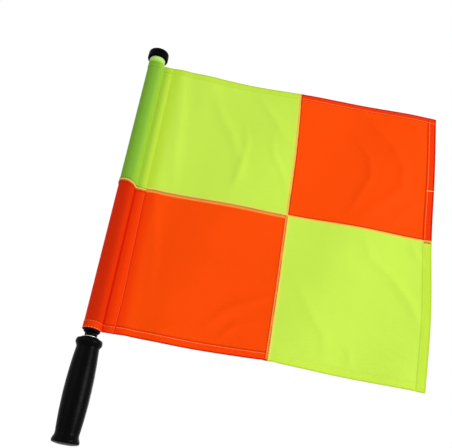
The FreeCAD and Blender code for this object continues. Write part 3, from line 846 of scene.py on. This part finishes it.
def square(name, finish, node, across, level):
    """One cloth square with its turned edges, as one woven sheet. Across and level say where two
    edges lie and how much is turned under at each. A hoist square goes on round the pole as its
    sleeve, and its flap's edge is turned towards the field."""
    low_x, high_x, hoist, fly = across
    sleeved = low_x < 0
    if sleeved:
        columns = sleeve_runs() + edge_runs(FIELD_START, high_x, 0, fly)
    else:
        columns = edge_runs(*across)
    rows = edge_runs(*level)
    bm = bmesh.new()
    bmesh.ops.create_grid(bm, x_segments=len(columns) - 1, y_segments=len(rows) - 1, size=1.0)
    cut = bm.loops.layers.uv.new("cut")
    tube, double, beside, band, far = (
        bm.verts.layers.float.new(share) for share in ("tube", "double", "beside", "band", "far"))
    far_light_share = ORANGE_FAR_LIGHT if finish is orange_cloth else 0.0
    for vert in bm.verts:
        s = columns[round((vert.co.x + 1) / 2 * (len(columns) - 1))]
        t = rows[round((vert.co.y + 1) / 2 * (len(rows) - 1))]
        for loop in vert.link_loops:
            loop[cut].uv = (s, t)
        along, side_angle, side = turn_over(s, *across)
        up, end_angle, end_side = turn_over(t, *level)

        # How deep the spot lies: side edges turn first, and the ends turn over them
        on_flap = sleeved and side < 0
        side_depth = (-1 if on_flap else 1) * LAYER * (1 - math.cos(side_angle))
        in_side = smooth(along, high_x - fly - 3, high_x - fly) if fly else 0.0
        if hoist and not sleeved:
            in_side = max(in_side, 1 - smooth(along, low_x + hoist, low_x + hoist + 3))
        middle = LAYER * (1 + 2 * in_side)
        if on_flap:
            middle = LAYER * (1 - 2.5 * side_angle / math.pi)
        depth = middle - (middle - side_depth) * math.cos(end_angle)
        if end_angle:
            up += end_side * (middle - side_depth) * math.sin(end_angle)
        along += side * LAYER * math.sin(side_angle)
        vert.co = on_cloth(along, up, depth)

        # Shares of the tints: two layers, painted shadow beside the flap's edge, the dark tube
        # through the sleeve, painted shade in the band beside the crease, and painted light on the
        # orange sleeve's far side
        foot_hem = 1 - over_line(up, BOTTOM_HEM_LINE)
        vert[double] = max(over_line(up, TOP_HEM_LINE), 0.6 * foot_hem,
                           over_line(along, FLY_HEM_LINE),
                           1 - smooth(along, ROUND_END - 3.0, ROUND_END))
        # Painted shadow on the field beside the flap's edge
        vert[beside] = 1 - smooth(along, FLAP_EDGE + 1.0, FLAP_EDGE + 20.0)
        if along < FIELD_START:
            x = vert.co.x
            over_tube = (1 - smooth(x, 10.2, 13.0)) * (1 - 0.34 * smooth(x, 2.0, 11.0))
            vert[beside] = 0.0
            vert[tube] = over_tube * (1 - 0.8 * foot_hem)
            # Painted shade in the band from the crease to the flap's edge
            vert[band] = 1 - smooth(x, 13.0, FLAP_EDGE + 1.0)
            # Painted light on the far side of the orange sleeve
            vert[far] = far_light_share * (1 - smooth(x, -10.5, 0.0))
    bmesh.ops.recalc_face_normals(bm, faces=bm.faces)
    centre = Vector(((low_x + high_x) / 2, 0, (level[0] + level[1]) / 2))
    middle_face = min(bm.faces, key=lambda face: (face.calc_center_median() - centre).length)
    if middle_face.normal.y > 0:
        bmesh.ops.reverse_faces(bm, faces=bm.faces)
    piece = finished(bm, name, [finish], [node], sharp=80)
    thick = piece.modifiers.new("cloth_thickness", "SOLIDIFY")
    thick.thickness = CLOTH * MM
    thick.offset = 0.0
    return piece, (columns[-1] - columns[0]) * MM, (rows[-1] - rows[0]) * MM


def make_squares():
    """The four squares: yellow above orange at the hoist, orange above yellow at the fly."""
    at_hoist = (FLAP_CUT, CENTRE_SEAM, FLAP_TURN, SEAM_ALLOWANCE)
    at_fly = (CENTRE_SEAM, FLY_EDGE, SEAM_ALLOWANCE, FLY_HEM)
    above = (FLAG_MIDDLE, FLAG_TOP, SEAM_ALLOWANCE, TOP_HEM)
    below = (FLAG_FOOT, FLAG_MIDDLE, BOTTOM_HEM, SEAM_ALLOWANCE)
    made = {}
    for colour, finish, half, across, level in (
            ("yellow", yellow_cloth, "hoist", at_hoist, above),
            ("orange", orange_cloth, "hoist", at_hoist, below),
            ("orange", orange_cloth, "fly", at_fly, above),
            ("yellow", yellow_cloth, "fly", at_fly, below)):
        name = f"{colour}_{half}_cloth"
        made[name] = square(name, finish, f"{half}_square_{colour}",
                            across, level)
    return made


# Stitches


def add_stitch(bm, along, up, depth, angle, length, width, height, material=0):
    """One stitch: a slim thread that rises out of the cloth and dives back into it. The angle is
    its lean from the along direction, in degrees."""
    step = 0.4
    here = on_cloth(along, up, depth)
    right = (on_cloth(along + step, up, depth) - on_cloth(along - step, up, depth)).normalized()
    rise = (on_cloth(along, up + step, depth) - on_cloth(along, up - step, depth)).normalized()
    out = right.cross(rise).normalized()
    turn = math.radians(angle)
    ahead = right * math.cos(turn) + rise * math.sin(turn)
    aside = out.cross(ahead)
    axes = Matrix((ahead * length / 2, aside * width / 2, out * height / 2)).transposed()
    lying = Matrix.Translation(here) @ axes.to_4x4() @ Matrix.Rotation(math.pi / 2, 4, "Y")
    made = bmesh.ops.create_uvsphere(bm, u_segments=6, v_segments=5, radius=1.0, matrix=lying)
    if material:
        for vert in made["verts"]:
            for face in vert.link_faces:
                face.material_index = material


# Depths at which thread lies: on the face, behind two layers of cloth, and behind one

FRONT = -LAYER
BACK = 3 * LAYER
SINGLE_BACK = LAYER

LOCK_PITCH = 3.0
BAR_PITCH = 0.55
ZIGZAG_PITCH = 1.4
BATCH = 10


def steps_along(start, end, pitch):
    """Evenly spaced places from start to end, about a pitch apart."""
    count = max(int((end - start) / pitch), 1)
    return [start + (k + 0.5) * (end - start) / count for k in range(count)]


def lock_stitches(start, end, upright, other, depth, width=0.32, material=0):
    """A line of lock stitches along a hem, on one face of the cloth."""
    stitches = []
    for place in steps_along(start, end, LOCK_PITCH):
        wander = 0.18 * noise.noise(Vector((place / 9.0, other / 7.0, depth)))
        spot = (other + wander, place) if upright else (place, other + wander)
        stitches.append((*spot, depth, 90 if upright else 0, 2.7, width, 0.3, material))
    return stitches


def bars(start, end, other, climb, depth, reach, material):
    """A bar tack's close upright stitches. The row climbs that much on its way."""
    places = steps_along(start, end, BAR_PITCH)
    return [(place, other + climb * ((k + 0.5) / len(places) - 0.5), depth,
             102 if k % 2 else 78, reach, 0.5, 0.45, material)
            for k, place in enumerate(places)]


def loops(start, end, upright, seam, depth, centre, reach, material, legs=2, pitch=1.9):
    """A row of overlock loops beside a seam. Their legs lean across the row by turns."""
    stitches = []
    across = 0 if upright else 90
    for place in steps_along(start, end, pitch):
        lean = 16 + 6 * noise.noise(Vector((place / 4.0, centre, depth)))
        for leg in range(legs):
            run = place + leg * pitch / 2
            beside = seam + centre + 0.15 * noise.noise(Vector((run / 3.0, centre, 9.1)))
            spot = (beside, run) if upright else (run, beside)
            angle = across + (lean if leg % 2 else -lean)
            stitches.append((*spot, depth, angle, reach * 1.1, 0.7, 0.5, material))
    return stitches


def shade_dots(start, end, upright, seam, depth, centre, share=1.5, material=1, pitch=2.7, width=1.3,
          fill=0.62):
    """A row of dark beads along a seam: painted shade of the needle holes and of the ditch beside
    the orange cloth. Share says how much of the row shows them, all of it from about 1.5, and fill
    how much of each step a stitch takes."""
    stitches = []
    for place in steps_along(start, end, pitch):
        if 0.5 + 0.9 * noise.noise(Vector((place / 13.0, seam, 3.3))) < share:
            spot = (seam + centre, place) if upright else (place, seam + centre)
            angle = 90 if upright else 0
            stitches.append((*spot, depth * 1.3, angle, pitch * fill, width, 0.6, material))
    return stitches


def zigzag(start, end, other, depth, height, material):
    """A row of slanting stitches that turn back and forth, level across the hem."""
    return [(place, other, depth, 55 if k % 2 else -55, height * 1.4, 0.95, 0.5, material)
            for k, place in enumerate(steps_along(start, end, ZIGZAG_PITCH))]


def threads(line, finishes, rows):
    """One piece of all the stitches of a sewn line, made in batches."""
    stitches = [stitch for row in rows for stitch in row]
    whole = bmesh.new()
    for first in range(0, len(stitches), BATCH):
        part = bmesh.new()
        for stitch in stitches[first:first + BATCH]:
            add_stitch(part, *stitch)
        batch = bpy.data.meshes.new("batch")
        part.to_mesh(batch)
        part.free()
        whole.from_mesh(batch)
        bpy.data.meshes.remove(batch)
    return finished(whole, line + "_thread", finishes, [line + "_stitching"])


# Ends of the sewn lines, a millimetre clear of edges and seams

FACE_START, FACE_END = FLAP_EDGE - 1, FLY_EDGE - 1
BELOW_SEAM, ABOVE_SEAM = FLAG_MIDDLE - 1, FLAG_MIDDLE + 1
HOIST_SIDE, FLY_SIDE = CENTRE_SEAM - 1, CENTRE_SEAM + 1


def sew_sleeve():
    """The line that sews the flap down, on the flap and on the flag's wrong side."""
    orange, yellow = 0, 1
    rows = []
    for place in (STITCH_CUT, SLEEVE_STITCH):
        for start, stop, depth, material in (
                (FLAG_FOOT + 1, BOTTOM_HEM_LINE, BACK, orange),
                (BOTTOM_HEM_LINE, FLAG_MIDDLE - SEAM_ALLOWANCE, SINGLE_BACK, orange),
                (FLAG_MIDDLE - SEAM_ALLOWANCE, FLAG_MIDDLE, BACK, orange),
                (FLAG_MIDDLE, FLAG_MIDDLE + SEAM_ALLOWANCE, BACK, yellow),
                (FLAG_MIDDLE + SEAM_ALLOWANCE, TOP_HEM_LINE, SINGLE_BACK, yellow),
                (TOP_HEM_LINE, FLAG_TOP - 1, BACK, yellow)):
            rows.append(lock_stitches(start, stop, True, place, depth, 0.5, material))
    return threads("sleeve", [flap_thread, lime_thread], rows)


def sew_top_hem():
    """The top hem's line, on the face and on the wrong side."""
    level = TOP_HEM_LINE + 0.8
    return threads("top_hem", [hem_thread, lime_thread], [
        lock_stitches(FACE_START, HOIST_SIDE, False, level, FRONT, material=1),
        lock_stitches(FLY_SIDE, FACE_END, False, level - 0.8, FRONT, 0.6),
        lock_stitches(FLAP_CUT + 1, HOIST_SIDE, False, level, BACK, material=1),
        lock_stitches(FLY_SIDE, FACE_END, False, level, BACK),
    ])


def sew_bottom_hem():
    """The foot hem's line, and a second one at the sleeve's foot."""
    level = BOTTOM_HEM_LINE
    return threads("bottom_hem", [hem_thread, lime_thread], [
        lock_stitches(FACE_START, HOIST_SIDE, False, level, FRONT, 0.6),
        lock_stitches(FLY_SIDE, FACE_END, False, level, FRONT, material=1),
        lock_stitches(FLAP_CUT + 1, HOIST_SIDE, False, level, BACK, 0.45),
        lock_stitches(FLY_SIDE, FACE_END, False, level, BACK, material=1),
        lock_stitches(FLAP_BEND, CREASE_END, False, FLAG_FOOT + 0.8, BACK, 0.8),
    ])


def sew_fly_hem():
    """The fly hem's line, the bar tack half way up it, and the ends of the level seam's thread."""
    line, edge, tack = FLY_HEM_LINE + 0.3, FLY_EDGE - 0.6, FLAG_FOOT + 265.0
    finishes = [hem_thread, lime_thread, pale_thread, brown_thread, seam_thread]
    return threads("fly_hem", finishes, [
        lock_stitches(BOTTOM_HEM_LINE, BELOW_SEAM, True, line, FRONT, 0.4, 1),
        lock_stitches(ABOVE_SEAM, TOP_HEM_LINE + 0.8, True, line, FRONT, 0.6),
        lock_stitches(BOTTOM_HEM_LINE, BELOW_SEAM, True, line, BACK, material=1),
        lock_stitches(ABOVE_SEAM, TOP_HEM_LINE + 0.8, True, line, BACK),
        bars(line - 1.5, edge, tack, 1.8, FRONT, 1.5, 2),
        zigzag(line - 1.5, edge - 0.2, FLAG_MIDDLE - 3.0, FRONT * 1.6, 2.8, 3),
        bars(line - 1.0, edge, FLAG_MIDDLE - 0.4, 0.0, FRONT * 1.6, 2.4, 4),
        bars(line - 1.0, edge, FLAG_MIDDLE - 5.8, 0.0, FRONT, 2.0, 2),
    ])


def sew_seams():
    """The overlock thread of the two centre seams. Its rows lie side by side: loops in seam and
    pale thread, dark beads of painted shade at the needle holes, and rust-coloured beads of painted
    shadow in the ditch beside the orange cloth."""
    seam, pale, ditch_shadow = 0, 2, 3
    finishes = [seam_thread, hole_shade_thread, pale_thread, ditch_shadow_thread]
    hoist = (FACE_START, HOIST_SIDE, False, FLAG_MIDDLE)
    fly = (FLY_SIDE, FACE_END, False, FLAG_MIDDLE)
    sleeve = (FLAP_CUT + 0.6, CREASE_END, False, FLAG_MIDDLE)
    behind = (CREASE_END, FACE_END, False, FLAG_MIDDLE)
    level = threads("level_seam", finishes, [
        loops(*hoist, FRONT, -2.9, 2.7, seam),
        loops(*hoist, FRONT, -0.6, 2.0, pale, pitch=1.6),
        shade_dots(*hoist, FRONT * 1.4, -0.4, pitch=3.3, width=2.3, fill=0.54),
        loops(*hoist, FRONT, 1.9, 2.2, pale, pitch=1.6),
        shade_dots(*fly, FRONT, 1.3, material=ditch_shadow, pitch=2.2, width=1.5, fill=1.0),
        loops(*fly, FRONT, -0.5, 1.9, seam),
        loops(*fly, FRONT, -2.5, 2.6, pale, legs=1),
        loops(*sleeve, BACK, 0.3, 3.0, pale, pitch=1.5),
        shade_dots(*sleeve, BACK, 2.1, pitch=3.1, width=1.2, fill=0.5),
        loops(*sleeve, BACK, -1.6, 1.4, seam),
        shade_dots(*sleeve, BACK * 1.2, -1.2, material=ditch_shadow, pitch=3.1, width=1.4, fill=0.5),
        shade_dots(*sleeve, BACK, -2.7, material=ditch_shadow, pitch=2.2, width=1.2, fill=1.0),
        loops(*behind, BACK, 1.5, 2.6, seam),
        shade_dots(*behind, BACK, -0.8, 0.5),
    ])
    lower = (FLAG_FOOT + 0.5, BELOW_SEAM, True, CENTRE_SEAM)
    lower_end = (FLAG_FOOT + 0.5, FLAG_FOOT + 30, True, CENTRE_SEAM)
    upper = (ABOVE_SEAM, FLAG_TOP - 0.5, True, CENTRE_SEAM)
    back = (FLAG_FOOT + 1, FLAG_TOP - 1, True, CENTRE_SEAM)
    upright = threads("upright_seam", finishes, [
        shade_dots(*lower, FRONT, -3.2, material=ditch_shadow, pitch=2.2, width=1.0, fill=1.0),
        loops(*lower, FRONT, -1.5, 2.5, seam),
        shade_dots(*lower_end, FRONT * 1.3, -0.3, pitch=3.0, width=1.6, fill=0.52),
        shade_dots(FLAG_FOOT + 30, *lower[1:], FRONT * 1.3, -0.3, 0.55, pitch=2.9, fill=0.5),
        loops(*lower, FRONT, 1.3, 2.8, pale, pitch=1.6),
        loops(*upper, FRONT, -3.8, 2.0, pale, legs=1),
        loops(*upper, FRONT, -1.3, 3.0, seam),
        shade_dots(*upper, FRONT, 1.1, material=ditch_shadow, pitch=2.2, width=1.5, fill=1.0),
        shade_dots(ABOVE_SEAM, FLAG_TOP - 20, True, CENTRE_SEAM, FRONT, 0.4, 0.3),
        shade_dots(FLAG_TOP - 20, *upper[1:], FRONT * 1.3, 0.2, pitch=3.0, width=1.6, fill=0.5),
        loops(*back, BACK, 1.5, 2.6, seam),
        shade_dots(*back, BACK, -0.8, 0.5),
    ])
    return level, upright


make_grip()
make_neck()
make_plug()
make_stop_ring()
make_cap()
squares = make_squares()
sleeve_line, top_line, foot_line = sew_sleeve(), sew_top_hem(), sew_bottom_hem()
fly_line = sew_fly_hem()
level_seam, upright_seam = sew_seams()


# Camera, floor and light


PICTURE_WIDTH = 452.0
VIEW_LENGTH = 650.0


def make_camera():
    """The photograph's view, from below. The view length is in the picture's pixels."""
    camera = bpy.data.cameras.new("camera")
    camera.sensor_width = 36.0
    camera.lens = 36.0 * VIEW_LENGTH / PICTURE_WIDTH
    view = in_scene("camera", camera)
    right = Vector((0.9804, -0.1219, 0.1545))
    forward = Vector((0.052, 0.9178, 0.3937)).normalized()
    right = (right - forward * right.dot(forward)).normalized()
    up = right.cross(forward)
    turn = Matrix((right, up, -forward)).transposed().to_4x4()
    view.matrix_world = Matrix.Translation((0.0902, -0.7623, -0.0924)) @ turn
    bpy.context.scene.camera = view


FLOOR_LEVEL = -1.1
FLOOR_REACH = 30.0
FLOOR_WHITE = 0.7


def make_floor():
    """A pale floor well below the grip. It keeps shadows and looks nearly white."""
    bm = bmesh.new()
    bmesh.ops.create_grid(bm, x_segments=1, y_segments=1, size=FLOOR_REACH)
    bmesh.ops.translate(bm, vec=(0, 0, FLOOR_LEVEL), verts=bm.verts)
    mesh = bpy.data.meshes.new("floor")
    bm.to_mesh(mesh)
    bm.free()
    pale = Finish("pale_floor", Base_Color=(0.86, 0.86, 0.86, 1.0), Roughness=0.9,
                  Specular_IOR_Level=0.1)
    white = pale.node("Emission")
    mixed = pale.node("MixShader", None, {
        0: pale.steps(pale.shows_background(), 0.0, 1.0, 0.0, FLOOR_WHITE),
        1: Wire(pale, pale.shader.outputs[0]), 2: white})
    pale.put(pale.tree.nodes["Material Output"].inputs["Surface"], mixed)
    mesh.materials.append(pale.material)
    in_scene("floor", mesh)


def make_world(strength):
    """Even white light all round, seen as plain white."""
    world = bpy.data.worlds.new("studio")
    bpy.context.scene.world = world
    world.use_nodes = True
    nodes = Nodes(world.node_tree)
    background = nodes.tree.nodes["Background"]
    background.inputs["Color"].default_value = (1.0, 1.0, 1.0, 1.0)
    nodes.put(background.inputs["Strength"],
              nodes.steps(nodes.shows_background(), 0.0, 1.0, strength, 1.0))


LAMPS_AIM = Vector((0.15, 0.0, 0.2))


def make_lamp(name, place, size, power):
    """A soft square lamp that looks at the flag."""
    light = bpy.data.lights.new(name, "AREA")
    light.size = size
    light.energy = power
    lamp = in_scene(name, light)
    lamp.location = place
    lamp.rotation_euler = (LAMPS_AIM - lamp.location).to_track_quat("-Z", "Y").to_euler()


bpy.context.scene.view_settings.view_transform = "Standard"
make_camera()
make_floor()
make_world(0.6)
make_lamp("key", (1.7, -1.3, 0.3), 0.9, 25.0)
make_lamp("fill", (-1.4, -1.6, 0.5), 1.4, 5.0)
make_lamp("back", (0.6, 1.8, 0.8), 1.4, 10.0)
